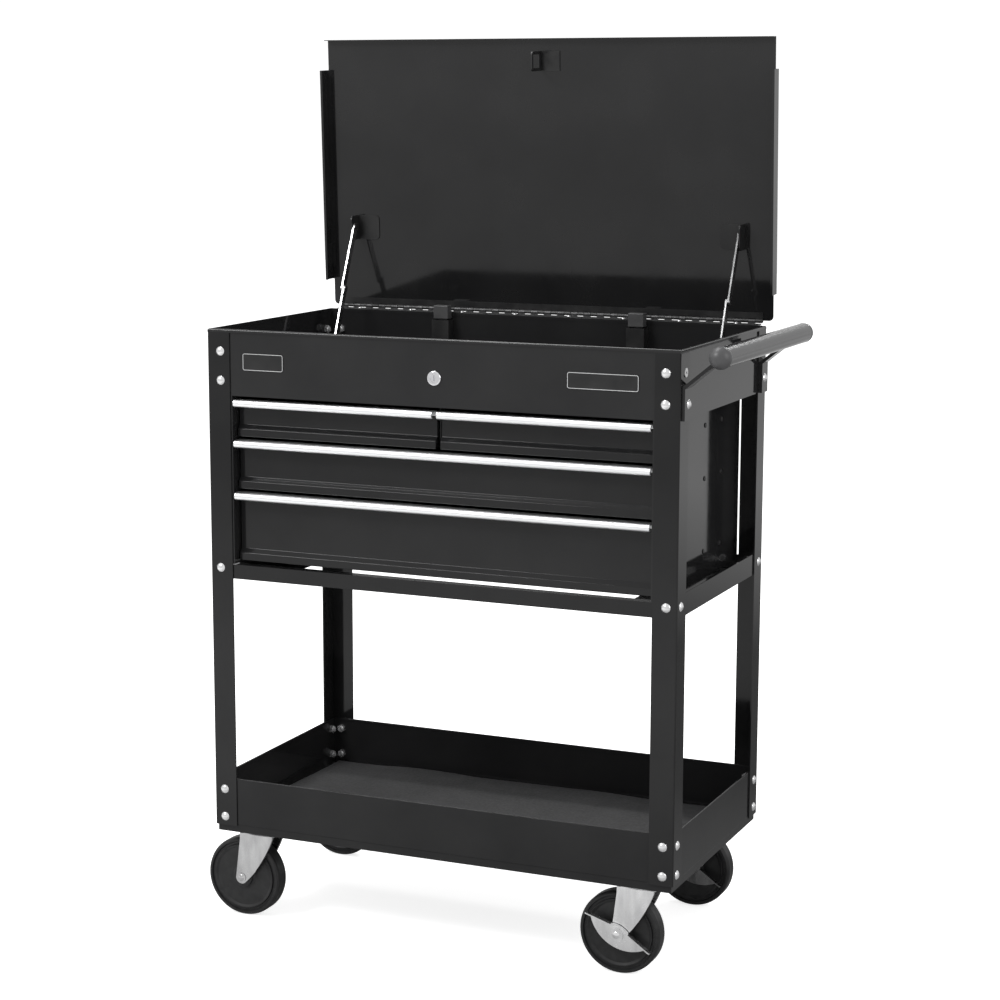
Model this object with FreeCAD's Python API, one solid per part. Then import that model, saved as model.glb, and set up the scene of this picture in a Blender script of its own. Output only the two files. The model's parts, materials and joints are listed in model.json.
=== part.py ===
"""Rolling tool chest: four angle legs, a lidded top tray, four drawers, a lower tray and casters.

Millimetres, +Z up.  The builder functions below work from the frame's front left corner on the
floor (x to the right, y to the back), and export() moves each piece so that the origin is at the
bottom centre of the whole chest's bounding box.
"""
import FreeCAD, Part
import math
import os

V = FreeCAD.Vector

# ---- frame -------------------------------------------------------------------------------------
frame_w = 762.0            # outside width over the legs, 30 in
frame_d = 404.0            # outside depth over the legs
leg_size = 38.0            # flange of the angle legs
leg_t = 2.0
leg_bottom = 153.0
rim_z = 935.5              # top of the upper tray's hemmed rim
hem_h = 5.0                # height of the hem on the upper tray
sheet = 1.2                # general sheet thickness

# ---- trays -------------------------------------------------------------------------------------
top_tray_bottom = 834.0
low_tray_floor = 155.0     # underside of the lower tray's floor
low_tray_rim = 229.5
low_skirt_bottom = 142.5   # the lower tray's skirt hangs below its floor
mat_t = 3.0

# ---- rails -------------------------------------------------------------------------------------
rail_t = 1.5
cross_rail_z = (549.5, 572.0)
side_rail_z = (548.5, 581.5)
rail_flange = 15.0

# ---- drawer cabinet ----------------------------------------------------------------------------
cab_x0 = 39.5              # outer face of the left side panel
cab_x1 = frame_w - cab_x0
cab_y0 = 2.0
cab_y1 = 399.2
cab_z0 = 573.0
cab_tail_y = 19.5          # behind the front rail the side panels reach further down
cab_tail_z = 551.0         # onto the rails' feet
cab_foot = 64.0            # flange turned in under the drawers
slide_gap = 12.7           # room for one telescopic slide beside a drawer
front_x0 = 43.5            # drawer fronts and pulls run between these
front_x1 = frame_w - front_x0
centre_gap = 8.0           # between the two small drawers
face_y = 20.0              # main face of a drawer front
lip_y = 14.0               # its lower lip stands forward
pan_y1 = 372.0
slide_y = (31.0, 378.0)
slide_h = 35.0
slide_up = 23.0            # middle of the slides over the drawer's bottom
slide_rivets_y = (230.7, 308.0)

# name: (x0, x1, top of pull, bottom of lip, bottom of pan, top of pan)
mid_x = frame_w / 2.0
drawers = {
    "drawer_small_left": (front_x0, mid_x - centre_gap / 2, 828.5, 770.5, 776.0, 820.0),
    "drawer_small_right": (mid_x + centre_gap / 2, front_x1, 828.5, 770.5, 776.0, 820.0),
    "drawer_middle": (front_x0, front_x1, 766.0, 689.5, 695.0, 757.0),
    "drawer_deep": (front_x0, front_x1, 685.0, 577.5, 583.5, 676.0),
}

# ---- lid and hinge -----------------------------------------------------------------------------
pin_y = 425.0
pin_z = 940.0
pin_r = 1.5
knuckle_r = 3.0
knuckle_pitch = 11.5
lid_open_deg = 87.6        # the chest is modelled with its lid open
lid_under = 943.5          # underside of the closed lid
lid_len = 437.0
lid_x0 = -3.0
lid_x1 = 765.0
skirt_x0 = -8.0
skirt_x1 = 770.0
skirt_from = 43.0          # side skirts, measured from the hinge
skirt_to = 388.0
skirt_h = 22.0
front_skirt_h = 13.0

# ---- lid stays (left one; the right one is its mirror image) ------------------------------------
stay_tab_x = 44.0
stay_t = 2.5
stay_w = 12.0
stay_q = (405.0, 1072.0)   # pivot on the lid, lid open
stay_k = (360.0, 973.0)    # knee, lid open
stay_p = (313.0, 857.0)    # pivot on the tray's floor bracket
rivet_r = 3.0
run_fit = 0.06             # radial clearance of a turning fit

# ---- lock and drawer-lock rods -----------------------------------------------------------------
lock_z = 877.5
lock_r = 11.0
plug_r = 6.0
rod_x = (214.0, 553.0)
rod_cap_z = (926.5, 948.5)

# ---- push bar ----------------------------------------------------------------------------------
bar_x = 820.5
bar_z = 927.0
bar_r = 15.0
ball_r = 16.5
rear_ball_r = 15.3
bracket_t = 5.0
bracket_w = 28.0

# ---- casters -----------------------------------------------------------------------------------
caster_in_x = 63.0         # swivel axis from the frame's side
caster_in_y = 37.0         # and from its front or back
trail = 28.0               # the wheel trails to the left
wheel_r = 63.5
wheel_w = 28.0
hub_w = 32.0
axle_r = 5.0
kingpin_r = 6.0
fork_in = 17.0             # inner face of a fork leg from the middle
fork_t = 3.0
bulge = 3.0                # the fork's pressed-out curve
bulge_r = 89.7
plate_top = low_tray_floor

bolt_z = (901.8, 857.1, 565.9, 211.3, 166.9)

casters = {
    "front_left": (caster_in_x, caster_in_y),
    "front_right": (frame_w - caster_in_x, caster_in_y),
    "rear_left": (caster_in_x, frame_d - caster_in_y),
    "rear_right": (frame_w - caster_in_x, frame_d - caster_in_y),
}
brake_tilt = 26.0          # the released brake levers lean this far
braked = ("front_right", "rear_right")

# The chest's whole box: the left wheels, the bar's ball caps, and the open lid's back edge.
open_rad = math.radians(lid_open_deg)
box_x = (caster_in_x - trail - wheel_r, bar_x + ball_r)
lid_back = lid_under + sheet - pin_z
box_y = (-ball_r, pin_y + lid_back * math.sin(open_rad) - 0.5 * math.cos(open_rad))
origin = V(sum(box_x) / 2, sum(box_y) / 2, 0)


# ---- small helpers -----------------------------------------------------------------------------
def box(x0, x1, y0, y1, z0, z1):
    return Part.makeBox(x1 - x0, y1 - y0, z1 - z0, V(x0, y0, z0))


def rod(x, y, z, axis, r, length):
    """A cylinder that starts at the point and runs along the axis."""
    return Part.makeCylinder(r, length, V(x, y, z), axis)


def fuse(shapes):
    whole = shapes[0].fuse(shapes[1:]) if len(shapes) > 1 else shapes[0]
    return whole.removeSplitter()


def prism(points, direction):
    """A polygon of 3-D points pushed along a vector."""
    corners = [V(*p) for p in points]
    return Part.Face(Part.makePolygon(corners + corners[:1])).extrude(V(*direction))


def round_edges(shape, radius, wanted):
    """Fillet the edges whose middle point the test accepts."""
    edges = [e for e in shape.Edges if wanted(e)]
    return shape.makeFillet(radius, edges)


def mid(edge):
    return edge.valueAt((edge.FirstParameter + edge.LastParameter) / 2)


def vertical(edge):
    a, b = edge.Vertexes[0].Point, edge.Vertexes[-1].Point
    return abs(a.x - b.x) < 1e-6 and abs(a.y - b.y) < 1e-6 and abs(a.z - b.z) > 1e-3


def mirror_x(shape):
    """The same piece on the other side of the chest."""
    return shape.mirror(V(frame_w / 2, 0, 0), V(1, 0, 0))


def mirror_y(shape):
    return shape.mirror(V(0, frame_d / 2, 0), V(0, 1, 0))


def turn_lid(shape):
    """Swing a piece from the closed lid to the open lid."""
    turned = shape.copy()
    turned.rotate(V(0, pin_y, pin_z), V(1, 0, 0), -lid_open_deg)
    return turned


nodes = {}


def export():
    os.makedirs("parts", exist_ok=True)
    for name, shapes in nodes.items():
        group = shapes[0] if len(shapes) == 1 else Part.makeCompound(shapes)
        moved = group.copy()
        moved.translate(origin * -1)
        moved.exportStep("parts/%s.step" % name)


# ---- bolts -------------------------------------------------------------------------------------
def bolt_places():
    """(x, y, z, outward axis) of each bolt through a leg flange."""
    places = []
    for z in bolt_z:
        inset = 22.0 if z > top_tray_bottom else 17.0
        for x in (inset, frame_w - inset):
            places.append((x, 0.0, z, V(0, -1, 0)))
            places.append((x, frame_d, z, V(0, 1, 0)))
        for y in (inset, frame_d - inset):
            places.append((0.0, y, z, V(-1, 0, 0)))
            places.append((frame_w, y, z, V(1, 0, 0)))
    return places


bolts = bolt_places()
bolt_r = 3.9
hole_r = 4.2


def drill(shape, depth=3.0):
    """Clearance holes for the bolts that pass through this piece, which lies that deep."""
    limits = shape.BoundBox
    limits.enlarge(1.0)
    cutters = []
    for x, y, z, out in bolts:
        point = V(x, y, z) - out * depth
        if limits.isInside(point):
            start = V(x, y, z) + out * 12.0
            cutters.append(Part.makeCylinder(hole_r, 30.0, start, out * -1))
    return shape.cut(cutters) if cutters else shape


def fasteners():
    """Dome-headed bolts with nuts inside; two at the front top are tubular rivets."""
    solids = []
    for x, y, z, out in bolts:
        on_bracket = out.x > 0 and abs(z - bolt_z[1]) < 1
        stand = bracket_t if on_bracket else 0.0
        face = V(x, y, z) + out * stand
        is_rivet = abs(out.x) > 0 and y < leg_size and z > 880
        grip = stand + leg_t + (rail_t if abs(z - bolt_z[2]) < 1 else sheet)
        nut_face = face - out * grip
        if is_rivet:
            ring = Part.makeCylinder(6.6, 1.2, face, out)
            tube = Part.makeCylinder(bolt_r, grip + 1.0, nut_face - out * 1.0, out)
            bore = Part.makeCylinder(2.6, grip + 6.0, nut_face - out * 2.0, out)
            solids.append(fuse([ring, tube]).cut(bore))
            continue
        dome = Part.makeSphere(8.5, face - out * 4.9)
        dome = dome.common(Part.makeCylinder(7.2, 5.0, face, out))
        shank = Part.makeCylinder(bolt_r, grip + 7.5, nut_face - out * 7.5, out)
        solids.append(fuse([dome, shank]))
        side = V(0, 0, 1)
        across = out.cross(side)
        hexagon = []
        for i in range(6):
            a = math.radians(60 * i)
            p = nut_face + side * (6.9 * math.cos(a)) + across * (6.9 * math.sin(a))
            hexagon.append((p.x, p.y, p.z))
        push = out * -5.0
        nut = prism(hexagon, (push.x, push.y, push.z))
        solids.append(nut.cut(Part.makeCylinder(bolt_r, 8.0, nut_face + out, out * -1)))
    return solids


# ---- legs --------------------------------------------------------------------------------------
def leg():
    """Front left angle leg."""
    top = rim_z - hem_h
    shape = fuse([box(0, leg_size, 0, leg_t, leg_bottom, top), box(0, leg_t, 0, leg_size, leg_bottom, top)])
    shape = round_edges(shape, 2.5, lambda e: vertical(e) and abs(mid(e).x) < 0.01 and abs(mid(e).y) < 0.01)
    return shape


def legs():
    front = leg()
    nodes["legs_front"] = [drill(front), drill(mirror_x(front))]
    rear = mirror_y(front)
    nodes["legs_rear"] = [drill(rear), drill(mirror_x(rear))]


# ---- trays -------------------------------------------------------------------------------------
def ring(x0, x1, y0, y1, z0, z1, wall):
    outer = box(x0, x1, y0, y1, z0, z1)
    return outer.cut(box(x0 + wall, x1 - wall, y0 + wall, y1 - wall, z0 - 1, z1 + 1))


def hem(z0, z1, out, wall):
    """A folded rim with a rounded top."""
    shape = ring(out, frame_w - out, out, frame_d - out, z0, z1, wall)

    def is_outer(edge):
        p = mid(edge)
        return min(p.x - out, frame_w - out - p.x, p.y - out, frame_d - out - p.y) < 0.01
    shape = round_edges(shape, wall * 0.75, lambda e: abs(mid(e).z - z1) < 0.01 and is_outer(e))
    return shape


def top_tray():
    x0, x1, y0, y1 = leg_t, frame_w - leg_t, leg_t, frame_d - leg_t
    walls = ring(x0, x1, y0, y1, top_tray_bottom, rim_z - hem_h, sheet)
    floor = box(x0, x1, y0, y1, top_tray_bottom, top_tray_bottom + sheet)
    rim = hem(rim_z - hem_h, rim_z, 0.3, leg_t + sheet + 0.1)
    flange = box(14, frame_w - 14, frame_d - 2, 421.5, rim_z - sheet, rim_z)
    shape = fuse([walls, floor, rim, flange])
    lock_hole = rod(mid_x, y0 - 1, lock_z, V(0, 1, 0), 9.4, 4)
    rod_holes = [box(x - 7, x + 7, 388.4, 400, top_tray_bottom - 1, top_tray_bottom + 3) for x in rod_x]
    slot = box(frame_w - 5, frame_w + 1, 240, 280, 923, 927.5)
    small = rod(frame_w - 6, 365.6, 926, V(1, 0, 0), 2.2, 8)
    shape = shape.cut([lock_hole, slot, small] + rod_holes)
    nodes["top_tray"] = [drill(shape)]


def low_tray():
    x0, x1, y0, y1 = leg_t, frame_w - leg_t, leg_t, frame_d - leg_t
    walls = ring(x0, x1, y0, y1, low_tray_floor, low_tray_rim - 4, sheet)
    rim = ring(x0, x1, y0, y1, low_tray_rim - 4, low_tray_rim, 2.4)
    rim = round_edges(rim, 1.0, lambda e: abs(mid(e).z - low_tray_rim) < 0.01)
    floor = box(x0, x1, y0, y1, low_tray_floor, low_tray_floor + sheet)
    step = 1.3
    skirt = ring(x0 + step, x1 - step, y0 + step, y1 - step, low_skirt_bottom, low_tray_floor + sheet, sheet)
    tub = round_edges(fuse([walls, floor]), 1.0, lambda e: abs(mid(e).z - low_tray_floor) < 0.01)
    shape = fuse([tub, rim, skirt])
    nodes["lower_tray"] = [drill(shape)]
    z = low_tray_floor + sheet
    mat = box(10, frame_w - 10, 12, frame_d - 12, z, z + mat_t)
    nodes["lower_tray_mat"] = [round_edges(mat, 12.0, vertical)]


# ---- rails -------------------------------------------------------------------------------------
def rails():
    """Angle rails under the drawers."""
    z0, z1 = cross_rail_z
    back = leg_t + rail_t
    web = box(back, frame_w - back, leg_t, back, z0, z1)
    foot = box(back, frame_w - back, back, back + rail_flange, z0, z0 + rail_t)
    angle = round_edges(fuse([web, foot]), 1.0, lambda e: abs(mid(e).y - leg_t) < 0.01
                        and abs(mid(e).z - z0) < 0.01)
    # The front rail also has a top flange, stopped short of the bolt ends.
    ledge = box(30, frame_w - 30, back - 0.1, back + rail_flange, z1 - rail_t, z1)
    front = drill(fuse([angle, ledge]))
    rear = drill(mirror_y(angle))
    nodes["cross_rails"] = [front, rear]
    z0, z1 = side_rail_z
    side_web = box(leg_t, back, leg_t, frame_d - leg_t, z0, z1)
    side_foot = box(back, back + rail_flange, 24, frame_d - 24, z0, z0 + rail_t)
    left = fuse([side_web, side_foot])
    nodes["side_rails"] = [drill(left), drill(mirror_x(left))]


# ---- cabinet -----------------------------------------------------------------------------------
def row_centres():
    """Height of each drawer's slides."""
    return {name: d[4] + slide_up for name, d in drawers.items()}


def cabinet():
    panel = box(cab_x0, cab_x0 + sheet, cab_y0, cab_y1, cab_z0, top_tray_bottom)
    tail = box(cab_x0, cab_x0 + sheet, cab_tail_y, cab_y1, cab_tail_z, cab_z0 + 1)
    foot = box(cab_x0, cab_x0 + cab_foot, 5, cab_y1, cab_tail_z, cab_tail_z + sheet)
    # A flange behind the front leg closes the corner.
    lap = box(cab_x0 - 11.5, cab_x0 + sheet, leg_t, leg_t + sheet, cab_z0, top_tray_bottom)
    holes = []
    rivets = []
    across = V(1, 0, 0)
    for z in sorted(set(row_centres().values())):
        for y in slide_rivets_y:
            holes.append(rod(cab_x0 - 1, y, z, across, 1.8, 3))
            head = round_edges(rod(cab_x0 - 1.3, y, z, across, 3.7, 1.3), 0.8,
                               lambda e: abs(mid(e).x - cab_x0 + 1.3) < 0.01)
            rivets.append(fuse([head, rod(cab_x0 - 0.1, y, z, across, 1.7, sheet + 0.1)]))
    nodes["slide_rivets"] = rivets + [mirror_x(r) for r in rivets]
    side = fuse([panel, tail, foot, lap]).cut(holes)
    holes = []
    for name in ("drawer_small_left", "drawer_middle", "drawer_deep"):
        z = row_centres()[name]
        for y in (231.0, 310.0):
            holes.append(rod(cab_x0 - 1, y, z, V(1, 0, 0), 2.4, 4))
    side = side.cut(holes)
    nodes["cabinet_sides"] = [side, mirror_x(side)]
    inner = cab_x0 + sheet
    nodes["cabinet_back"] = [box(inner, frame_w - inner, cab_y1 - sheet, cab_y1, cab_z0 + sheet,
                                 top_tray_bottom)]
    web = box(mid_x - sheet / 2, mid_x + sheet / 2, 24, cab_y1 - sheet, 772, top_tray_bottom - sheet)
    top = box(mid_x - 15, mid_x + 15, 24, cab_y1 - sheet, top_tray_bottom - sheet, top_tray_bottom)
    nodes["drawer_divider"] = [fuse([web, top])]


# ---- telescopic slides -------------------------------------------------------------------------
def channel(x, z, y0, y1, web_at, lips_to, half):
    """A C section along y: a web and two lips, x offsets from the wall the slide is screwed to."""
    web = box(x + web_at, x + web_at + sheet, y0, y1, z - half, z + half)
    a, b = sorted((web_at + sheet / 2, lips_to))
    upper = box(x + a, x + b, y0, y1, z + half - sheet, z + half)
    lower = box(x + a, x + b, y0, y1, z - half, z - half + sheet)
    return fuse([web, upper, lower])


def slide_set(x, z):
    """Outer, middle and inner member of one left-hand slide, drawer shut."""
    y0, y1 = slide_y
    outer = channel(x, z, y0, y1, 0.0, 9.0, slide_h / 2)
    middle = channel(x, z, y0, y1 - 10, 2.2, 9.6, slide_h / 2 - 1.9)
    inner = channel(x, z, y0, y1, slide_gap - sheet, 4.4, slide_h / 2 - 5)
    return outer, middle, inner


# ---- drawers -----------------------------------------------------------------------------------
def drawer_inner_x(name):
    """The x range between the two walls that carry a drawer's slides."""
    inner = cab_x0 + sheet
    half = sheet / 2
    if name == "drawer_small_left":
        return inner, mid_x - half
    if name == "drawer_small_right":
        return mid_x + half, frame_w - inner
    return inner, frame_w - inner


def drawer_front(x0, x1, top, bottom):
    """Folded front: a face, a slope out to the lower lip, and a return under it."""
    slope_top = bottom + 18.5
    slope_low = bottom + 11.5
    t = sheet
    outline = [(face_y, top), (face_y, slope_top), (lip_y, slope_low), (lip_y, bottom),
               (face_y + 4, bottom), (face_y + 4, bottom + t), (lip_y + t, bottom + t),
               (lip_y + t, slope_low - 0.4), (face_y + t, slope_top - 0.4), (face_y + t, top)]
    shape = prism([(x0, y, z) for y, z in outline], (x1 - x0, 0, 0))
    corners = ((face_y, slope_top), (lip_y, slope_low), (lip_y, bottom))

    def bend(edge):
        p = mid(edge)
        return abs(p.x - (x0 + x1) / 2) < 1 and any(abs(p.y - y) < 0.01 and abs(p.z - z) < 0.01
                                                    for y, z in corners)
    return round_edges(shape, 1.0, bend)


def pull(x0, x1, top):
    """Aluminium pull: a flat top, a rounded front lip and a back flange."""
    r = 6.0
    t = 1.7
    front = -1.5
    c = front + r
    low = top - 2 * r
    back = face_y
    z = top - r

    def pt(y, h):
        return V(x0, y, h)
    edges = [
        Part.LineSegment(pt(back, top), pt(c, top)),
        Part.Arc(pt(c, top), pt(front, z), pt(c, low)),
        Part.LineSegment(pt(c, low), pt(c, low + t)),
        Part.Arc(pt(c, low + t), pt(front + t, z), pt(c, top - t)),
        Part.LineSegment(pt(c, top - t), pt(back - t, top - t)),
        Part.LineSegment(pt(back - t, top - t), pt(back - t, top - 9)),
        Part.LineSegment(pt(back - t, top - 9), pt(back, top - 9)),
        Part.LineSegment(pt(back, top - 9), pt(back, top)),
    ]
    wire = Part.Wire([e.toShape() for e in edges])
    return Part.Face(wire).extrude(V(x1 - x0, 0, 0))


def drawer(name):
    x0, x1, top, bottom, pan_z0, pan_z1 = drawers[name]
    left, right = drawer_inner_x(name)
    px0, px1 = left + slide_gap, right - slide_gap
    front = drawer_front(x0, x1, top, bottom)
    y0 = face_y + sheet
    slope_top, slope_low = bottom + 18.5, bottom + 11.5
    side = [(face_y, top), (face_y, slope_top), (lip_y, slope_low), (lip_y, bottom),
            (y0 + 8, bottom), (y0 + 8, top)]
    ends = [prism([(x, y, z) for y, z in side], (sheet, 0, 0)) for x in (x0, x1 - sheet)]
    pan = box(px0, px1, y0, pan_y1, pan_z0, pan_z1)
    pan = pan.cut(box(px0 + sheet, px1 - sheet, y0 + sheet, pan_y1 - sheet, pan_z0 + sheet, pan_z1 + 1))
    nodes[name + "_pan"] = [fuse([front, pan] + ends)]
    nodes[name + "_pull"] = [pull(x0, x1, top)]
    z = (pan_z0 + pan_z1) / 2
    outer, middle, inner = slide_set(left, z)
    parts = [outer, middle, inner]
    across = V((left + right) / 2, 0, 0)
    twins = [p.mirror(across, V(1, 0, 0)) for p in parts]
    nodes[name + "_slide_middles"] = [middle, twins[1]]
    nodes[name + "_slide_inners"] = [inner, twins[2]]
    return [outer, twins[0]]


def all_drawers():
    outers = []
    for name in drawers:
        outers += drawer(name)
    nodes["slide_outers"] = outers


# ---- lid ---------------------------------------------------------------------------------------
def lid_panel():
    """Drawn shut, with y = pin_y - distance from the hinge."""
    z0 = lid_under
    z1 = z0 + sheet
    near = pin_y - 0.5
    far = pin_y - lid_len
    a = pin_y - skirt_from
    b = pin_y - skirt_to
    plate = fuse([box(lid_x0, lid_x1, far, near, z0, z1), box(skirt_x0, skirt_x1, b, a, z0, z1)])
    plate = round_edges(plate, 7.0, lambda e: vertical(e) and abs(mid(e).y - near) < 0.01)
    side = box(skirt_x0, skirt_x0 + sheet, b, a, z0 - skirt_h, z1)
    lip = box(skirt_x0, skirt_x0 + 4, b, a, z0 - skirt_h, z0 - skirt_h + sheet)
    front = box(lid_x0, lid_x1, far, far + sheet, z0 - front_skirt_h, z1)
    shape = fuse([plate, side, lip, mirror_x(side), mirror_x(lip), front])

    def outer_bend(edge):
        p = mid(edge)
        on_side = min(abs(p.x - skirt_x0), abs(p.x - skirt_x1)) < 0.01 and edge.Length > 300
        on_front = abs(p.y - far) < 0.01 and edge.Length > 700
        return abs(p.z - z1) < 0.01 and (on_side or on_front)
    shape = round_edges(shape, 1.1, outer_bend)
    nodes["lid_panel"] = [turn_lid(shape)]


def knuckles(first):
    """Every second knuckle of the piano hinge, from the given one."""
    rings = []
    start = 13.0
    count = int((frame_w - 2 * start) / knuckle_pitch)
    for i in range(first, count, 2):
        x = start + i * knuckle_pitch
        rings.append((x, x + knuckle_pitch - 0.6))
    return rings


def hinge():
    pin = rod(12.5, pin_y, pin_z, V(1, 0, 0), pin_r, frame_w - 25.0)
    bore = rod(0, pin_y, pin_z, V(1, 0, 0), pin_r + run_fit, frame_w)
    base = [box(14, frame_w - 14, frame_d, 421.0, rim_z, rim_z + sheet)]
    for x0, x1 in knuckles(0):
        base.append(rod(x0, pin_y, pin_z, V(1, 0, 0), knuckle_r, x1 - x0))
        base.append(box(x0, x1, 420.0, 425.5, rim_z, pin_z - 1.9))
    fixed = fuse(base).cut(bore)
    nodes["hinge_frame_leaf"] = [fixed, pin]
    leaf_top = rim_z + sheet
    nodes["hinge_rivets"] = [Part.makeSphere(4.2, V(52.0 + i * 94.0, 412, leaf_top - 2.2)).common(
        rod(52.0 + i * 94.0, 412, leaf_top, V(0, 0, 1), 5, 5)) for i in range(8)]
    plate_z = lid_under - 1.0
    moving = [box(14, frame_w - 14, pin_y - 13.0, pin_y - 3.8, plate_z, lid_under)]
    for x0, x1 in knuckles(1):
        moving.append(rod(x0, pin_y, pin_z, V(1, 0, 0), knuckle_r, x1 - x0))
        moving.append(box(x0, x1, pin_y - 4.5, pin_y - 0.5, pin_z + 2.0, lid_under - 0.4))
    nodes["hinge_lid_leaf"] = [turn_lid(fuse(moving).cut(bore))]


def striker():
    """Plate under the lid with a windowed tab that the lock's hook enters."""
    y0, y1 = pin_y - 417.0, pin_y - 386.0
    plate = box(377, 410, y0, y1, lid_under - 1.8, lid_under)
    tab = box(377, 379, y0, y1, lid_under - 41, lid_under)
    window = box(376, 380, y0 + 5, y1 - 5, lid_under - 35.5, lid_under - 11)
    tab = round_edges(tab, 5.0, lambda e: abs(mid(e).x - 378) < 0.1 and abs(mid(e).z - lid_under + 41) < 0.01)
    nodes["lid_striker"] = [turn_lid(fuse([plate, tab]).cut(window))]


# ---- lid stays ---------------------------------------------------------------------------------
def link(p, q, x, width):
    """A flat bar with round ends in a plane of constant x."""
    dy, dz = q[0] - p[0], q[1] - p[1]
    length = math.hypot(dy, dz)
    ny, nz = -dz / length * width / 2, dy / length * width / 2
    bar = prism([(x, p[0] + ny, p[1] + nz), (x, q[0] + ny, q[1] + nz), (x, q[0] - ny, q[1] - nz),
                 (x, p[0] - ny, p[1] - nz)], (stay_t, 0, 0))
    ends = [rod(x, e[0], e[1], V(1, 0, 0), width / 2, stay_t) for e in (p, q)]
    return fuse([bar] + ends)


def stays():
    """Left stay, drawn open, with its brackets; each has a mirrored twin on the right."""
    along = V(1, 0, 0)
    tab_t = 2.0
    x_upper = stay_tab_x + tab_t + 0.5
    x_lower = x_upper + stay_t + 0.5
    x_foot = x_lower + stay_t + 0.6
    q, k, p = stay_q, stay_k, stay_p
    upper = link(k, q, x_upper, stay_w)
    upper = upper.cut(rod(x_upper - 1, q[0], q[1], along, rivet_r + run_fit, 5))
    lower = link(p, k, x_lower, stay_w)
    lower = lower.cut(rod(x_lower - 1, p[0], p[1], along, rivet_r + run_fit, 5))
    # The knee is the open pivot: each link carries its own half of the rivet.
    upper = fuse([upper, rod(x_upper - 1.2, k[0], k[1], along, 5.0, 1.3)])
    lower = fuse([lower, rod(x_lower + stay_t - 0.1, k[0], k[1], along, 5.0, 1.3)])
    nodes["stay_left_upper"] = [upper]
    nodes["stay_left_lower"] = [lower]
    nodes["stay_right_upper"] = [mirror_x(upper)]
    nodes["stay_right_lower"] = [mirror_x(lower)]

    # The lid bracket is drawn shut, so its pivot is found by turning the open pivot back.
    a = open_rad
    dy, dz = q[0] - pin_y, q[1] - pin_z
    qy = pin_y + dy * math.cos(a) - dz * math.sin(a)
    qz = pin_z + dy * math.sin(a) + dz * math.cos(a)
    plate = box(stay_tab_x, stay_tab_x + 40, qy - 18, qy + 22, lid_under - 1.6, lid_under)
    plate = round_edges(plate, 7.0, lambda e: vertical(e) and abs(mid(e).x - stay_tab_x - 40) < 0.1)
    tab = box(stay_tab_x, stay_tab_x + tab_t, qy - 18, qy + 22, lid_under - 27, lid_under)
    tab = round_edges(tab, 7.0, lambda e: abs(mid(e).x - stay_tab_x - 1) < 0.1
                      and abs(mid(e).z - lid_under + 27) < 0.01)
    rivet = rod(stay_tab_x, qy, qz, along, rivet_r, tab_t + 0.5 + stay_t + 0.4)
    head = rod(x_upper + stay_t + 0.4, qy, qz, along, 4.2, 1.4)
    lid_bracket = turn_lid(fuse([plate, tab, rivet, head]))
    nodes["stay_lid_brackets"] = [lid_bracket, mirror_x(lid_bracket)]

    floor = top_tray_bottom + sheet
    foot = box(x_foot, x_foot + 40, p[0] - 18, p[0] + 18, floor, floor + 1.6)
    upright = box(x_foot, x_foot + tab_t, p[0] - 18, p[0] + 18, floor, p[1] + 10)
    upright = round_edges(upright, 8.0, lambda e: abs(mid(e).x - x_foot - 1) < 0.1
                          and abs(mid(e).z - p[1] - 10) < 0.01)
    foot_pin = rod(x_lower - 0.4, p[0], p[1], along, rivet_r, x_foot - x_lower + 1.0)
    pin_head = rod(x_lower - 1.7, p[0], p[1], along, 5.0, 1.4)
    foot_bracket = fuse([foot, upright, foot_pin, pin_head])
    nodes["stay_foot_brackets"] = [foot_bracket, mirror_x(foot_bracket)]


# ---- lock and rods -----------------------------------------------------------------------------
def lock():
    back = V(0, 1, 0)
    flange = rod(mid_x, leg_t - 3.0, lock_z, back, lock_r, 3.0)
    flange = round_edges(flange, 1.6, lambda e: abs(mid(e).y - leg_t + 3.0) < 0.01)
    barrel = rod(mid_x, leg_t - 0.5, lock_z, back, 9.3, 20.5)
    nut = rod(mid_x, leg_t + sheet, lock_z, back, 13.0, 4.0)
    bore = rod(mid_x, leg_t - 5, lock_z, back, plug_r + run_fit, 40)
    nodes["lock_barrel"] = [fuse([flange, barrel, nut]).cut(bore)]
    plug = rod(mid_x, leg_t - 1.6, lock_z, back, plug_r, 22.1)
    key_slot = box(mid_x - 0.9, mid_x + 0.9, leg_t - 4, leg_t + 3, lock_z - 4.2, lock_z + 4.2)
    plug = plug.cut(key_slot)
    y0 = 22.5
    # The hooked cam points to the right when unlocked and turns up into the striker's window.
    arm = box(mid_x, mid_x + 36.5, y0, y0 + 2.5, lock_z - 8.5, lock_z - 0.5)
    tip = box(mid_x + 31.5, mid_x + 36.5, y0, y0 + 2.5, lock_z - 8.5, lock_z + 8.0)
    hub = rod(mid_x, y0, lock_z, back, 9.0, 2.5)
    nodes["lock_plug_and_cam"] = [fuse([plug, arm, tip, hub])]


def lock_rods():
    """Spring-raised rods that the lid pushes down to lock the drawers, in channels on the back wall."""
    guides = []
    wall = frame_d - leg_t - sheet
    floor = top_tray_bottom + sheet
    for name, x in zip(("lock_rod_left", "lock_rod_right"), rod_x):
        bar = box(x - 5, x + 5, 390.5, 397.5, 600, 927)
        cap = box(x - 13, x + 13, 382.7, 399, rod_cap_z[0], rod_cap_z[1])
        cap = round_edges(cap, 1.5, lambda e: True)
        nodes[name] = [fuse([bar, cap])]
        outer = box(x - 15, x + 15, 381, wall, floor, 925)
        guides.append(outer.cut(box(x - 15 + sheet, x + 15 - sheet, 381 + sheet, wall + 1, floor - 1, 926)))
    nodes["lock_rod_guides"] = guides


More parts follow.
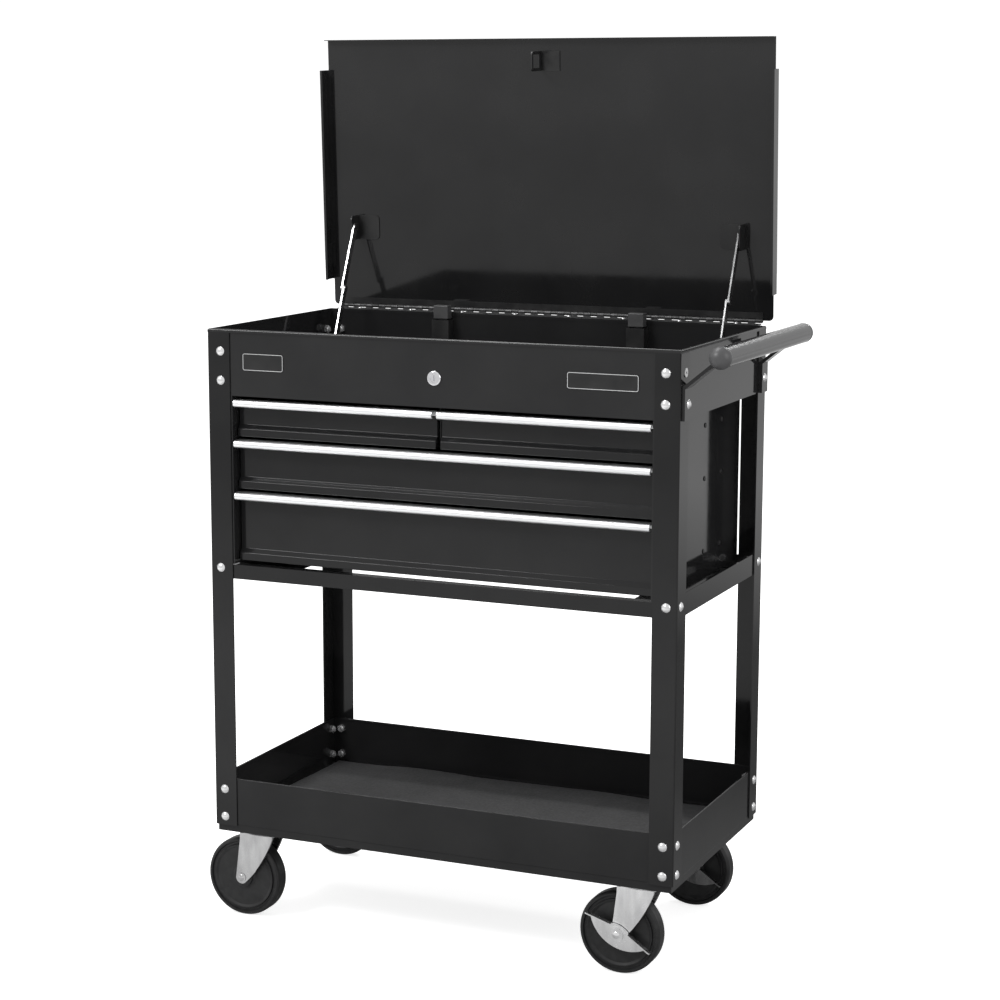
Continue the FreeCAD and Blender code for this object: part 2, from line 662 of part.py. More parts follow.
# ---- push bar ----------------------------------------------------------------------------------
def push_bar():
    tube = rod(bar_x, 0, bar_z, V(0, 1, 0), bar_r, frame_d)
    tube = tube.cut(rod(bar_x, -1, bar_z, V(0, 1, 0), bar_r - 1.5, frame_d + 2))
    caps = []
    for y, inward, r in ((0.0, 1.0, ball_r), (frame_d, -1.0, rear_ball_r)):
        ball = Part.makeSphere(r, V(bar_x, y, bar_z))
        plug = rod(bar_x, y, bar_z, V(0, inward, 0), bar_r - 1.5, 22)
        tip = rod(bar_x, y + inward * 4.0, bar_z, V(0, inward, 0), bar_r + 6, 40)
        caps.append(fuse([ball.cut(tip), plug]))
    tube = tube.cut([box(bar_x - 30, bar_x + 30, -2, 4, bar_z - 30, bar_z + 30),
                     box(bar_x - 30, bar_x + 30, frame_d - 4, frame_d + 2, bar_z - 30, bar_z + 30)])
    nodes["push_bar"] = [tube]
    nodes["push_bar_caps"] = caps
    # Flat-bar bracket: upright on the leg, then an arm up to the tube.
    x0, x1 = frame_w, frame_w + bracket_t
    z0, z1 = 834.5, 881.0
    dx, dz = bar_x - (x0 + x1) / 2, bar_z - z1
    run = math.hypot(dx, dz)
    nx, nz = -dz / run * bracket_t / 2, dx / run * bracket_t / 2
    cx = (x0 + x1) / 2
    y = 6.0
    base = box(x0, x1, y, y + bracket_w, z0, z1)
    arm = prism([(cx + nx, y, z1 + nz), (bar_x + nx, y, bar_z + nz), (bar_x - nx, y, bar_z - nz),
                 (cx - nx, y, z1 - nz)], (0, bracket_w, 0))
    elbow = rod(cx, y, z1, V(0, 1, 0), bracket_t / 2, bracket_w)
    bracket = fuse([base, arm, elbow]).cut(rod(bar_x, -5, bar_z, V(0, 1, 0), bar_r, frame_d + 10))
    nodes["push_bar_brackets"] = [drill(bracket, -2.0), drill(mirror_y(bracket), -2.0)]


# ---- casters -----------------------------------------------------------------------------------
def revolve(points, cx, cy, cz):
    """Turn (radius, width) points about an axis along y through the point."""
    corners = [V(cx + r, cy + w, cz) for r, w in points]
    face = Part.Face(Part.makePolygon(corners + corners[:1]))
    return face.revolve(V(cx, cy, cz), V(0, 1, 0), 360)


def wheel(cx, cy):
    h = wheel_w / 2
    # Tread, flat rim, groove, thin ridge, dished web and hub boss, from the outside in.
    half = [(wheel_r, 0), (wheel_r, h - 5), (wheel_r - 1.2, h - 2), (wheel_r - 3.5, h), (57.5, h),
            (56.0, h - 3.2), (52.6, h - 3.2), (51.6, h - 0.6), (50.4, h - 0.6), (47.0, h - 2.4),
            (20.0, h - 3.4), (16.5, h - 2.2), (15.5, hub_w / 2), (axle_r + 0.05, hub_w / 2)]
    outline = half + [(r, -w) for r, w in reversed(half) if w > 0]
    return revolve(outline, cx, cy, wheel_r)


def fork(sx, sy):
    """Swivel fork: a round crown and two legs that sweep back to the axle."""
    ax, az = sx - trail, wheel_r
    crown_z = 137.0
    top_z = 146.4
    crown = rod(sx, sy, crown_z - 3, V(0, 0, 1), 31.0, top_z - crown_z + 3)
    crown = crown.common(box(sx - 32, sx + 32, sy - fork_in - fork_t, sy + fork_in + fork_t,
                             crown_z - 4, top_z + 1))
    crown = round_edges(crown, 3.0, lambda e: abs(mid(e).z - top_z) < 0.01)
    crown = crown.cut(rod(sx, sy, 120, V(0, 0, 1), kingpin_r + run_fit, 40))
    legs_made = []
    boss = 10.0
    for side in (-1, 1):
        y0 = sy + side * fork_in
        out = side * fork_t
        profile = [
            Part.LineSegment(V(sx - 30, y0, crown_z), V(sx - 30, y0, 128)),
            Part.LineSegment(V(sx - 30, y0, 128), V(ax - boss, y0, az)),
            Part.Arc(V(ax - boss, y0, az), V(ax, y0, az - boss), V(ax + boss * 0.8, y0, az - boss * 0.6)),
            Part.Arc(V(ax + boss * 0.8, y0, az - boss * 0.6), V(sx + 12, y0, 98), V(sx + 28, y0, 132)),
            Part.LineSegment(V(sx + 28, y0, 132), V(sx + 28, y0, crown_z)),
            Part.LineSegment(V(sx + 28, y0, crown_z), V(sx - 30, y0, crown_z)),
        ]
        face = Part.Face(Part.Wire([e.toShape() for e in profile]))
        legs_made.append(face.extrude(V(0, out, 0)))
        # The wide part of the leg is pressed outwards in a shallow curve; the edge over the axle is flat.
        centre_y = y0 + out + side * (bulge - bulge_r)
        drum = rod(ax + 35, centre_y, az + 14, V(0, 0, 1), bulge_r, crown_z - az - 14)
        legs_made.append(face.extrude(V(0, out + side * bulge, 0)).common(drum))
    shape = fuse([crown] + legs_made)
    shape = shape.cut(rod(ax, sy - fork_in - 8, az, V(0, 1, 0), axle_r, 50))
    return shape


def axle(sx, sy, head_gap):
    """Axle bolt: a dome head at the front, that far off the fork, and a nut at the back."""
    ax = sx - trail
    fork_face = fork_in + fork_t
    out = fork_face + head_gap
    shank = rod(ax, sy - out, wheel_r, V(0, 1, 0), axle_r, out + fork_face + 3)
    head = Part.makeSphere(9.0, V(ax, sy - out + 5.5, wheel_r)).common(
        rod(ax, sy - out - 6, wheel_r, V(0, 1, 0), 7.6, 6))
    # The head stands on a washer, a wide one where it holds a brake.
    washer = rod(ax, sy - out - 1.6, wheel_r, V(0, 1, 0), 7.6 + head_gap * 0.6, 1.6)
    hexagon = []
    for i in range(6):
        a = math.radians(60 * i)
        hexagon.append((ax + 8.6 * math.cos(a), sy + fork_face, wheel_r + 8.6 * math.sin(a)))
    nut = prism(hexagon, (0, 5.5, 0))
    return fuse([shank, head, washer, nut])


def brake(sx, sy):
    """Side brake: a rocking plate on the axle with two bent treadles."""
    ax, az = sx - trail, wheel_r
    y0 = sy - fork_in - fork_t - 3.5
    t = 2.0
    outline = [
        Part.LineSegment(V(-47, y0, 2), V(-16, y0, 11)),
        Part.Arc(V(-16, y0, 11), V(0, y0, 15), V(16, y0, 11)),
        Part.LineSegment(V(16, y0, 11), V(46, y0, 2)),
        Part.Arc(V(46, y0, 2), V(0, y0, -19.5), V(-47, y0, 2)),
    ]
    plate = Part.Face(Part.Wire([e.toShape() for e in outline])).extrude(V(0, t, 0))
    treadles = []
    for side in (-1, 1):
        low, high = (side * 57, 5.5), (side * 15, 12.0)
        tread = prism([(low[0], y0 + t, low[1]), (high[0], y0 + t, high[1]),
                       (high[0], y0 + t, high[1] - t), (low[0], y0 + t, low[1] - t)], (0, -8, 0))
        treadles.append(round_edges(tread, 3.0, lambda e: abs(mid(e).x - low[0]) < 0.1
                                    and abs(mid(e).y - y0 - t + 8) < 0.01))
    dish = rod(0, y0 - 1.0, 0, V(0, 1, 0), 13, 2.0)
    shape = fuse([plate, dish] + treadles)
    shape = shape.cut(rod(0, y0 - 5, 0, V(0, 1, 0), axle_r + 0.05, 12))
    shape.rotate(V(0, 0, 0), V(0, 1, 0), brake_tilt)
    shape.translate(V(ax, 0, az))
    return shape


def all_casters():
    plates = []
    for name, (sx, sy) in casters.items():
        plate = box(sx - 46, sx + 46, sy - 32, sy + 32, plate_top - 2.5, plate_top)
        plate = round_edges(plate, 6.0, vertical)
        race = rod(sx, sy, 147.0, V(0, 0, 1), 27.0, plate_top - 2.5 - 147.0)
        screws = [rod(sx + dx, sy + dy, plate_top - 6.0, V(0, 0, 1), 6.0, 3.6)
                  for dx in (-37, 37) for dy in (-25, 25)]
        kingpin = rod(sx, sy, 131.0, V(0, 0, 1), kingpin_r, 17.0)
        pin_head = rod(sx, sy, 129.5, V(0, 0, 1), 10.0, 4.0)
        plates.append(fuse([plate, race, kingpin, pin_head] + screws))
        nodes["caster_%s_fork_and_axle" % name] = [fork(sx, sy), axle(sx, sy, 4.9 if name in braked else 0.0)]
        nodes["caster_%s_wheel" % name] = [wheel(sx - trail, sy)]
        if name in braked:
            nodes["caster_%s_brake" % name] = [brake(sx, sy)]
    nodes["caster_plates"] = plates


legs()
top_tray()
low_tray()
rails()
cabinet()
all_drawers()
lid_panel()
hinge()
striker()
stays()
lock()
lock_rods()
push_bar()
all_casters()
nodes["bolts_and_nuts"] = fasteners()
export()
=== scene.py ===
"""Looks of the rolling tool chest: gloss black sheet metal, aluminium pulls, zinc fittings."""
import json
import math

import bmesh
import bpy
from mathutils import Euler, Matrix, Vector, noise


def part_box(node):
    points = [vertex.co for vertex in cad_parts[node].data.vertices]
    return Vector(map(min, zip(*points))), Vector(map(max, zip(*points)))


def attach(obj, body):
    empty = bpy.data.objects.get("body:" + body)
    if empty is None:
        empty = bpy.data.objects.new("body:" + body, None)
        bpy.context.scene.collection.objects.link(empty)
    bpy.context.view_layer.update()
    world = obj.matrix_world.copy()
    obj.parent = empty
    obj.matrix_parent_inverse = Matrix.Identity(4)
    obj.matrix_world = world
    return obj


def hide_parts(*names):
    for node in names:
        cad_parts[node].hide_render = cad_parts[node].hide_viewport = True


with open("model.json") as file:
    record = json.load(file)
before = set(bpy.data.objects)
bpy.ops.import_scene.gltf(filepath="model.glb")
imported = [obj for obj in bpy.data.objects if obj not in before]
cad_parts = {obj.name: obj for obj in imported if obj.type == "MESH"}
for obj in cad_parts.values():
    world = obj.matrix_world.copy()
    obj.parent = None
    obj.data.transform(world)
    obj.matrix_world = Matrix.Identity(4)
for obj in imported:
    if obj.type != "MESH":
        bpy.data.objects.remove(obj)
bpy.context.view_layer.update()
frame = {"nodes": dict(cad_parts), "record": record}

MM = 0.001
nodes = frame["nodes"]
slot_of = {s["node"]: s["material_slot"] for s in frame["record"]["subparts"]}

# ---- camera, light and floor -------------------------------------------------------------------
CAMERA_PLACE = (1.4292, -3.3066, 1.2742)   # metres
CAMERA_TILT = (80.429, -0.148, 23.500)     # degrees about X, Y and Z
CAMERA_LENS = 84.64                        # mm
CAMERA_SENSOR = 36.0                       # mm
WORLD_LIGHT = 0.78         # what the pieces are lit by
WORLD_WHITE = 1.06         # what is seen behind them
FLOOR_REACH = 14.0         # metres from the middle to each side
FLOOR_DROP = 0.0005        # keeps it clear of the wheels
FLOOR_GREY = 0.82
FLOOR_LIGHT = 0.02         # the floor's own glow, as light
FLOOR_WHITE = 0.75         # the floor's own glow, as seen
DARK_PATCH = (1.0, 1.3, 0.0)
DARK_REACH = 3.0
DARK_GREY = 0.12


def make_camera():
    data = bpy.data.cameras.new("camera")
    data.lens = CAMERA_LENS
    data.sensor_width = CAMERA_SENSOR
    camera = bpy.data.objects.new("camera", data)
    bpy.context.scene.collection.objects.link(camera)
    camera.location = CAMERA_PLACE
    camera.rotation_euler = Euler([math.radians(a) for a in CAMERA_TILT])
    bpy.context.scene.camera = camera


def area_light(name, place, target, size, power):
    """A soft rectangular lamp aimed at a target. The camera does not see the lamp itself."""
    data = bpy.data.lights.new(name, "AREA")
    data.shape = "RECTANGLE"
    data.size, data.size_y = size
    data.energy = power
    lamp = bpy.data.objects.new(name, data)
    bpy.context.scene.collection.objects.link(lamp)
    lamp.location = place
    lamp.rotation_euler = (Vector(target) - Vector(place)).to_track_quat("-Z", "Y").to_euler()
    lamp.visible_camera = False


def make_world():
    """An even white surrounding, seen a little brighter than it lights."""
    world = bpy.data.worlds.new("studio")
    bpy.context.scene.world = world
    world.use_nodes = True
    tree = world.node_tree
    background = tree.nodes["Background"]
    background.inputs["Color"].default_value = (1.0, 1.0, 1.0, 1.0)
    path = tree.nodes.new("ShaderNodeLightPath")
    level = tree.nodes.new("ShaderNodeMapRange")
    level.inputs["To Min"].default_value = WORLD_LIGHT
    level.inputs["To Max"].default_value = WORLD_WHITE
    tree.links.new(path.outputs["Is Camera Ray"], level.inputs["Value"])
    tree.links.new(level.outputs["Result"], background.inputs["Strength"])


def make_studio():
    make_world()
    area_light("key", (-1.6, -2.2, 2.9), (0, 0, 0.7), (1.2, 0.8), 54)
    area_light("side", (2.8, -0.6, 1.9), (0, 0, 0.7), (0.9, 1.6), 18)
    area_light("top", (-0.8, 0.2, 3.3), (0, 0, 0.8), (1.3, 0.8), 30)
    area_light("back", (0.1, 3.0, 2.4), (0.2, 0, 0.9), (1.6, 0.35), 26)
    make_floor()


def make_floor():
    mesh = bpy.data.meshes.new("floor")
    r = FLOOR_REACH
    mesh.from_pydata([(-r, -r, 0), (r, -r, 0), (r, r, 0), (-r, r, 0)], [], [(0, 1, 2, 3)])
    floor = bpy.data.objects.new("floor", mesh)
    bpy.context.scene.collection.objects.link(floor)
    floor.location.z = -FLOOR_DROP
    mesh.materials.append(floor_material())


# ---- materials ---------------------------------------------------------------------------------
class Surface:
    """One procedural material: a principled shader with textures in the object's own metres."""

    def __init__(self, name, **values):
        self.material = bpy.data.materials.new(name)
        self.material.use_nodes = True
        self.tree = self.material.node_tree
        self.shader = self.tree.nodes["Principled BSDF"]
        self.place = self.node("ShaderNodeTexCoord").outputs["Object"]
        for key, value in values.items():
            self.shader.inputs[key.replace("_", " ")].default_value = value

    def node(self, kind, **settings):
        made = self.tree.nodes.new(kind)
        for key, value in settings.items():
            setattr(made, key, value)
        return made

    def join(self, a, b):
        self.tree.links.new(a, b)

    def stretched(self, scale):
        mapping = self.node("ShaderNodeMapping")
        mapping.inputs["Scale"].default_value = scale
        self.join(self.place, mapping.inputs["Vector"])
        return mapping.outputs["Vector"]

    def grain(self, scale, detail=3.0, stretch=None, rough=0.5):
        texture = self.node("ShaderNodeTexNoise")
        texture.inputs["Scale"].default_value = scale
        texture.inputs["Detail"].default_value = detail
        texture.inputs["Roughness"].default_value = rough
        self.join(self.stretched(stretch) if stretch else self.place, texture.inputs["Vector"])
        return texture.outputs["Fac"]

    def cells(self, scale):
        texture = self.node("ShaderNodeTexVoronoi")
        texture.inputs["Scale"].default_value = scale
        self.join(self.place, texture.inputs["Vector"])
        return texture.outputs["Distance"]

    def ramp(self, source, stops):
        """Colour from a value. Each stop is (value, colour)."""
        made = self.node("ShaderNodeValToRGB")
        ramp = made.color_ramp
        while len(ramp.elements) < len(stops):
            ramp.elements.new(0.5)
        for element, (at, colour) in zip(ramp.elements, stops):
            element.position = at
            element.color = (*colour, 1.0)
        self.join(source, made.inputs["Fac"])
        return made.outputs["Color"]

    def spread(self, source, low, high, at=(0.3, 0.7)):
        """Stretch the source's values from the range at to the range low to high."""
        made = self.node("ShaderNodeMapRange")
        for key, value in zip(("From Min", "From Max", "To Min", "To Max"), (*at, low, high)):
            made.inputs[key].default_value = value
        self.join(source, made.inputs["Value"])
        return made.outputs["Result"]

    def colour(self, source, stops):
        self.join(self.ramp(source, stops), self.shader.inputs["Base Color"])

    def roughness(self, source, low, high):
        self.join(self.spread(source, low, high), self.shader.inputs["Roughness"])

    def bumps(self, *layers):
        """Each layer is (height source, depth in metres, strength)."""
        previous = None
        for source, depth, strength in layers:
            made = self.node("ShaderNodeBump")
            made.inputs["Distance"].default_value = depth
            made.inputs["Strength"].default_value = strength
            self.join(source, made.inputs["Height"])
            if previous:
                self.join(previous, made.inputs["Normal"])
            previous = made.outputs["Normal"]
        self.join(previous, self.shader.inputs["Normal"])


def floor_material():
    """A pale floor that looks white from the camera.

    Behind the chest, on its right, a darker patch is left out of what the camera sees. It darkens only
    what the glossy faces mirror.
    """
    s = Surface("pale_floor", Roughness=0.9, Specular_IOR_Level=0.0)
    seen = s.node("ShaderNodeLightPath").outputs["Is Camera Ray"]
    near = s.node("ShaderNodeTexGradient", gradient_type="SPHERICAL")
    mapping = s.node("ShaderNodeMapping")
    mapping.inputs["Scale"].default_value = (1 / DARK_REACH,) * 3
    mapping.inputs["Location"].default_value = [-c / DARK_REACH for c in DARK_PATCH]
    s.join(s.place, mapping.inputs["Vector"])
    s.join(mapping.outputs["Vector"], near.inputs["Vector"])
    patch = s.node("ShaderNodeMath", operation="MULTIPLY")
    s.join(near.outputs["Fac"], patch.inputs[0])
    s.join(s.spread(seen, 1.0, 0.0, at=(0.0, 1.0)), patch.inputs[1])
    s.colour(patch.outputs["Value"], [(0.0, (FLOOR_GREY,) * 3), (0.8, (DARK_GREY,) * 3)])
    s.shader.inputs["Emission Color"].default_value = (1.0, 1.0, 1.0, 1.0)
    s.join(s.spread(seen, FLOOR_LIGHT, FLOOR_WHITE, at=(0.0, 1.0)), s.shader.inputs["Emission Strength"])
    return s.material


def paint(name, shine, low=0.0095, high=0.0145, haze=(0.05, 0.11)):
    """Gloss black powder coat: faint orange peel, a little dust and handling haze."""
    s = Surface(name, Specular_IOR_Level=shine)
    s.colour(s.grain(9.0, 6.0), [(0.35, (low, low, low * 1.04)), (0.75, (high, high, high * 1.02))])
    s.roughness(s.grain(14.0, 8.0, rough=0.65), *haze)
    s.bumps((s.grain(260.0, 2.0), 0.00002, 0.2), (s.grain(1500.0, 2.0), 0.00001, 0.2))
    return s.material


def black_paint():
    return paint("black_paint", 0.35, 0.013, 0.0185)


# black_lid, black_legs, black_drawers, black_tray and black_low are copies of black_paint, each a little
# lighter or darker in colour and shine for the light and shade its part takes: painted light and shade.
def black_lid():
    return paint("black_lid", 0.45)


def black_legs():
    return paint("black_legs", 0.29)


def black_drawers():
    return paint("black_drawers", 0.31, 0.0105, 0.015, (0.035, 0.075))


def black_tray():
    return paint("black_tray", 0.33, 0.0145, 0.02)


def black_low():
    return paint("black_low", 0.2, 0.014, 0.0195)


def satin_black():
    """Inner fittings in a thinner, duller black."""
    s = Surface("satin_black", Specular_IOR_Level=0.4)
    s.colour(s.grain(30.0, 6.0), [(0.3, (0.009, 0.009, 0.0095)), (0.7, (0.017, 0.017, 0.017))])
    s.roughness(s.grain(60.0, 6.0), 0.28, 0.42)
    s.bumps((s.grain(700.0, 2.0), 0.00003, 0.4))
    return s.material


def rod_grey():
    """Grey moulded caps of the drawer-lock rods."""
    s = Surface("rod_grey")
    s.colour(s.grain(60.0, 5.0), [(0.3, (0.04, 0.04, 0.041)), (0.7, (0.055, 0.055, 0.056))])
    s.roughness(s.grain(100.0, 5.0), 0.35, 0.5)
    s.bumps((s.grain(900.0, 3.0), 0.00004, 0.4))
    return s.material


def pull_aluminium():
    """Satin anodised extrusion with fine lines along its length."""
    s = Surface("pull_aluminium", Metallic=1.0)
    lines = s.grain(60.0, 6.0, (0.6, 60.0, 60.0), 0.6)
    s.colour(s.grain(18.0, 4.0), [(0.3, (0.86, 0.865, 0.875)), (0.7, (0.93, 0.935, 0.94))])
    s.roughness(lines, 0.32, 0.38)
    s.bumps((lines, 0.00001, 0.2))
    return s.material


def zinc(name, low, high, metallic=1.0):
    """Zinc plate: a very fine crystalline mottle and small rolling marks."""
    s = Surface(name, Metallic=metallic)
    streaks = s.grain(70.0, 3.0, (1.0, 1.0, 0.3))
    s.colour(streaks, [(0.35, (low, low, low * 1.01)), (0.65, (high, high, high * 1.005))])
    s.roughness(s.grain(320.0, 5.0), 0.16, 0.28)
    s.bumps((s.grain(700.0, 3.0), 0.00002, 0.35))
    return s.material


def zinc_steel():
    return zinc("zinc_steel", 0.44, 0.58)


# A lighter copy of zinc_steel for the front right caster, which stands in the light: painted light.
def zinc_painted_lit():
    return zinc("zinc_painted_lit", 0.74, 0.92)


# A darker copy of zinc_steel for the rear right caster and the right stay's two arms, which stand in
# shade: painted shade.
def zinc_painted_shade():
    return zinc("zinc_painted_shade", 0.2, 0.4)


def bolt_steel():
    return zinc("bolt_steel", 0.72, 0.82, 0.75)


def hinge_steel():
    """The continuous hinge's frame leaf, a lighter grey than the lid leaf, so that its knuckles show as
    grey dashes among the darker ones.
    """
    s = Surface("hinge_steel", Metallic=0.6)
    s.colour(s.grain(160.0, 5.0), [(0.3, (0.04, 0.04, 0.041)), (0.7, (0.08, 0.08, 0.081))])
    s.roughness(s.grain(300.0, 5.0), 0.3, 0.45)
    s.bumps((s.grain(900.0, 3.0), 0.00002, 0.4))
    return s.material


def lock_chrome():
    """Polished chrome of the lock's barrel and plug."""
    s = Surface("lock_chrome", Metallic=1.0)
    s.colour(s.grain(300.0), [(0.3, (0.78, 0.78, 0.8)), (0.7, (0.88, 0.88, 0.9))])
    s.roughness(s.grain(900.0, 6.0), 0.06, 0.16)
    s.bumps((s.grain(2500.0, 3.0), 0.00001, 0.2))
    return s.material


def wheel_plastic():
    """Hard moulded wheel: fine matt grain with scuffs from the floor."""
    s = Surface("wheel_plastic", Specular_IOR_Level=0.36)
    s.colour(s.grain(90.0, 8.0), [(0.35, (0.011, 0.011, 0.0115)), (0.72, (0.02, 0.02, 0.0205))])
    s.roughness(s.grain(150.0, 6.0), 0.36, 0.52)
    s.bumps((s.grain(1100.0, 3.0), 0.00005, 0.4), (s.grain(60.0, 4.0), 0.0002, 0.1))
    return s.material


def cap_plastic():
    """Moulded ball caps in dark grey."""
    s = Surface("cap_plastic")
    s.colour(s.grain(70.0, 5.0), [(0.3, (0.058, 0.058, 0.06)), (0.7, (0.068, 0.068, 0.07))])
    s.roughness(s.grain(120.0, 5.0), 0.38, 0.48)
    s.bumps((s.grain(1300.0, 3.0), 0.00002, 0.4))
    return s.material


def bar_grey():
    """The push bar's satin grey-black coat."""
    s = Surface("bar_grey")
    s.colour(s.grain(40.0, 5.0), [(0.3, (0.021, 0.021, 0.022)), (0.7, (0.026, 0.026, 0.027))])
    s.roughness(s.grain(90.0, 6.0), 0.12, 0.17)
    s.bumps((s.grain(900.0, 3.0), 0.000005, 0.3))
    return s.material


def mat_rubber():
    """Liner mat: matt, finely pebbled, with dust."""
    s = Surface("mat_rubber")
    dust = s.grain(22.0, 8.0, rough=0.65)
    s.colour(dust, [(0.3, (0.022, 0.022, 0.023)), (0.75, (0.038, 0.038, 0.039))])
    s.roughness(s.grain(200.0, 4.0), 0.72, 0.9)
    s.bumps((s.cells(900.0), 0.00025, 0.6), (s.grain(60.0, 3.0), 0.0004, 0.2))
    return s.material


MAKERS = {maker.__name__: maker for maker in (
    black_paint, black_lid, black_legs, black_drawers, black_tray, black_low, satin_black, rod_grey,
    pull_aluminium, zinc_steel, zinc_painted_lit, zinc_painted_shade, bolt_steel, hinge_steel, lock_chrome,
    wheel_plastic, cap_plastic, bar_grey, mat_rubber)}
# Nodes that differ from their slot's own material, some of them lighter or darker copies that paint in the
# light and shade their parts take. The other nodes take the one their slot names.
SURFACE_NODES = {
    # Copies of the black paint, lighter or darker part by part for the light and shade each part takes:
    # painted light and shade.
    "black_lid": ("lid_panel",),
    "black_legs": ("legs_front", "legs_rear", "side_rails", "cross_rails"),
    "black_drawers": ("drawer_small_left_pan", "drawer_small_right_pan", "drawer_middle_pan",
                      "drawer_deep_pan"),
    "black_tray": ("top_tray",),
    "black_low": ("lower_tray",),
    "satin_black": ("lid_striker", "stay_lid_brackets", "stay_foot_brackets", "hinge_lid_leaf",
                    "lock_rod_guides", "slide_rivets"),
    "hinge_steel": ("hinge_frame_leaf",),
    "bolt_steel": ("bolts_and_nuts", "hinge_rivets"),
    "bar_grey": ("push_bar",),
    # Zinc made lighter for the front right caster in the light: painted light.
    "zinc_painted_lit": ("caster_front_right_fork_and_axle", "caster_front_right_brake"),
    # Zinc made darker for the rear right caster and the right stay in shade: painted shade.
    "zinc_painted_shade": ("caster_rear_right_fork_and_axle", "caster_rear_right_brake", "stay_right_upper",
                  "stay_right_lower"),
}
NODE_SURFACE = {node: look for look, members in SURFACE_NODES.items() for node in members}
finished = {}


def surface(name):
    """The named material, made when it is first asked for."""
    if name not in finished:
        finished[name] = MAKERS[name]()
    return finished[name]


def paint_nodes():
    for name, obj in nodes.items():
        obj.data.materials.clear()
        obj.data.materials.append(surface(NODE_SURFACE.get(name, slot_of[name])))


# ---- pieces that Blender makes -----------------------------------------------------------------
MAT_COLUMNS = 150
MAT_ROWS = 80
MAT_THICK = 2.6 * MM
MAT_CLEAR = 0.2 * MM       # between the liner's underside and the tray
MAT_CORNER = 0.018         # radius the corners are cut to
MAT_BAND = 0.05            # width of the strip along the edges that wanders and lifts
MAT_LIFT = 5.0 * MM
MAT_RIPPLE = 0.35 * MM
LEG_SHEET = 2.0 * MM
BADGE_CORNER = 4.0         # mm
# Side, then from the left leg's outer edge, up from the floor, width and height, in mm.
BADGES = (("left", 95, 887, 70, 27), ("right", 645, 885, 110, 25))
# Rings of (inset from the outline, height above the fascia), in mm.
FIELD_RINGS = ((0, 0), (0, 0.7), (0.3, 1.0), (1.6, 1.0), (1.9, 0.75))
RIM_RINGS = ((0.9, 0.9), (0.9, 1.15), (1.6, 1.15), (1.6, 0.9))


def add_piece(name, mesh, body, material):
    obj = bpy.data.objects.new(name, mesh)
    bpy.context.scene.collection.objects.link(obj)
    mesh.materials.append(surface(material))
    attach(obj, body)
    return obj


def drift(x, y, fineness, plane):
    """Smooth noise over the floor, from about -1 to 1."""
    return noise.noise(Vector((x * fineness, y * fineness, plane)))


def near_edge(distance):
    """1 on the edge, falling to 0 across the strip along it."""
    return max(0.0, 1 - distance / MAT_BAND)


def mat_point(low, high, u, v, lift):
    """A point of the liner, u and v of the way across its box."""
    width, depth = high.x - low.x, high.y - low.y
    x = low.x + width * u
    y = low.y + depth * v
    inward_x = 1 if u < 0.5 else -1
    inward_y = 1 if v < 0.5 else -1
    from_side = min(u, 1 - u) * width
    from_end = min(v, 1 - v) * depth
    near = near_edge(min(from_side, from_end))
    sway = drift(x, y, 5.5, 1.7) * 0.55 + 0.45
    pull = near ** 2 * (0.002 + 0.014 * sway)
    x += pull * inward_x * near_edge(from_side)
    y += pull * inward_y * near_edge(from_end)
    # The corners are cut round.
    dx = max(0.0, MAT_CORNER - min(x - low.x, high.x - x))
    dy = max(0.0, MAT_CORNER - min(y - low.y, high.y - y))
    reach = math.hypot(dx, dy)
    if reach > MAT_CORNER:
        shrink = (reach - MAT_CORNER) / reach
        x += dx * shrink * inward_x
        y += dy * shrink * inward_y
    curl = near ** 2 * max(0.0, drift(x, y, 9.0, 4.2)) * MAT_LIFT
    ripple = (drift(x, y, 3.0, 8.1) + 1) * MAT_RIPPLE
    return x, y, low.z + lift + curl + ripple


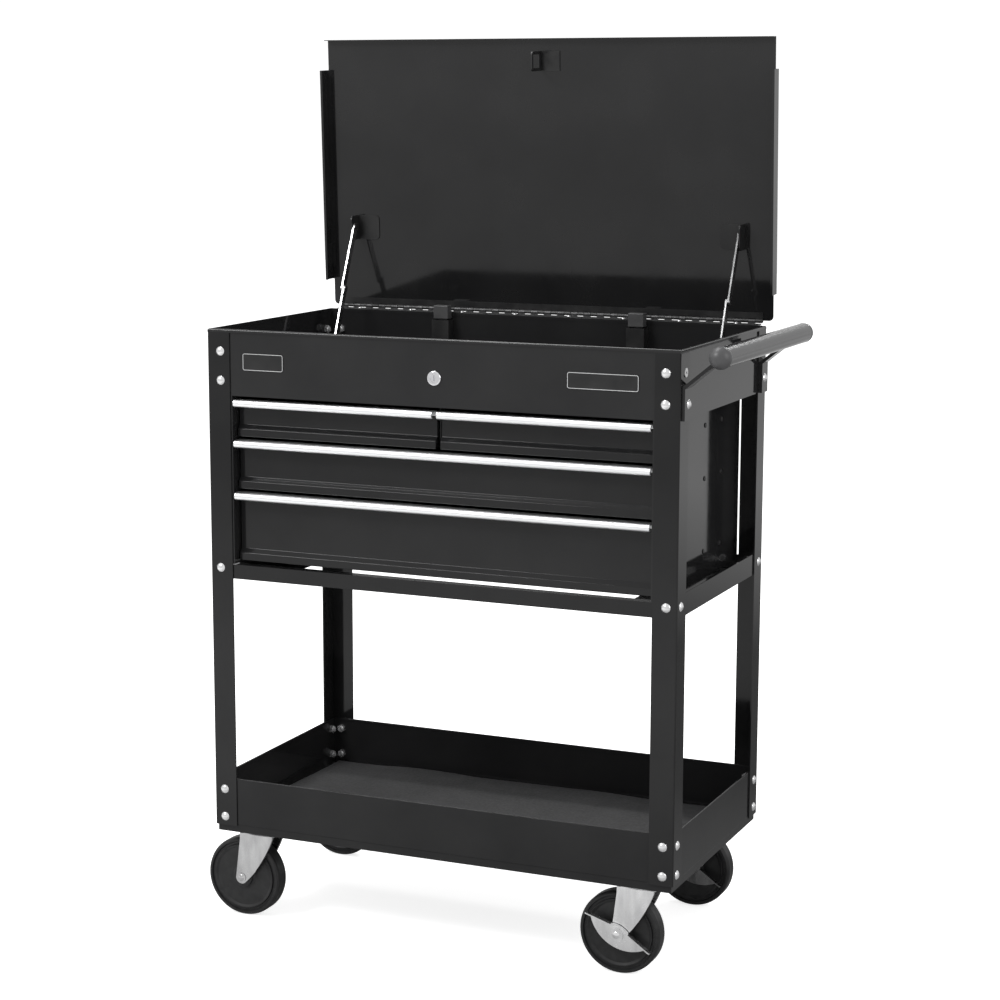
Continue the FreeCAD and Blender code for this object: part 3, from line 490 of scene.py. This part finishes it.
def liner_mat():
    """The shelf's liner: cut by hand, so its edges wander and lift a little."""
    low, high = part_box("lower_tray_mat")
    data = bmesh.new()

    def layer(lift):
        return [[data.verts.new(mat_point(low, high, i / MAT_COLUMNS, j / MAT_ROWS, lift))
                 for i in range(MAT_COLUMNS + 1)] for j in range(MAT_ROWS + 1)]

    top = layer(MAT_THICK)
    under = layer(MAT_CLEAR)
    for points, step in ((top, 1), (under, -1)):
        for j in range(MAT_ROWS):
            for i in range(MAT_COLUMNS):
                corners = [points[j][i], points[j][i + 1], points[j + 1][i + 1], points[j + 1][i]]
                data.faces.new(corners[::step])
    border = [(0, i) for i in range(MAT_COLUMNS)] + [(j, MAT_COLUMNS) for j in range(MAT_ROWS)]
    border += [(MAT_ROWS, i) for i in range(MAT_COLUMNS, 0, -1)] + [(j, 0) for j in range(MAT_ROWS, 0, -1)]
    for a, b in zip(border, border[1:] + border[:1]):
        data.faces.new([under[a[0]][a[1]], under[b[0]][b[1]], top[b[0]][b[1]], top[a[0]][a[1]]])
    for face in data.faces:
        face.smooth = True
    mesh = bpy.data.meshes.new("liner_mat")
    data.to_mesh(mesh)
    data.free()
    mat = add_piece("liner_mat", mesh, "chest", "mat_rubber")
    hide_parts("lower_tray_mat")


def rounded_outline(width, height, radius, steps=8):
    points = []
    for side, up, start in ((1, 1, 0), (-1, 1, 90), (-1, -1, 180), (1, -1, 270)):
        for k in range(steps + 1):
            a = math.radians(start + 90 * k / steps)
            points.append((side * (width / 2 - radius) + radius * math.cos(a),
                           up * (height / 2 - radius) + radius * math.sin(a)))
    return points


def plate_mesh(name, centre, width, height, rings, capped):
    """A plate facing -Y, lofted through its rings. It is capped at both ends, or closed into a frame."""
    data = bmesh.new()
    loops = []
    for inset, stand in rings:
        outline = rounded_outline((width - 2 * inset) * MM, (height - 2 * inset) * MM,
                                  (BADGE_CORNER - inset) * MM)
        loops.append([data.verts.new((centre[0] + x, centre[1] - stand * MM, centre[2] + z))
                      for x, z in outline])
    pairs = list(zip(loops, loops[1:]))
    if not capped:
        pairs.append((loops[-1], loops[0]))
    for outer, inner in pairs:
        count = len(outer)
        for k in range(count):
            data.faces.new([outer[k], outer[(k + 1) % count], inner[(k + 1) % count], inner[k]])
    if capped:
        data.faces.new(loops[-1])
        data.faces.new(loops[0][::-1])
    data.normal_update()
    bmesh.ops.recalc_face_normals(data, faces=data.faces)
    mesh = bpy.data.meshes.new(name)
    data.to_mesh(mesh)
    data.free()
    return mesh


def badge_plates():
    """Two plain plates on the fascia, each a dark field in a thin bright frame."""
    legs_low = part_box("legs_front")[0]
    for side, along, up, width, height in BADGES:
        centre = (legs_low.x + along * MM, legs_low.y + LEG_SHEET, up * MM)
        field = plate_mesh("badge_%s" % side, centre, width, height, FIELD_RINGS, capped=True)
        add_piece("badge_%s" % side, field, "chest", "satin_black")
        rim = plate_mesh("badge_%s_frame" % side, centre, width, height, RIM_RINGS, capped=False)
        add_piece("badge_%s_frame" % side, rim, "chest", "pull_aluminium")


make_camera()
make_studio()
bpy.context.scene.view_settings.view_transform = "Standard"
paint_nodes()
liner_mat()
badge_plates()
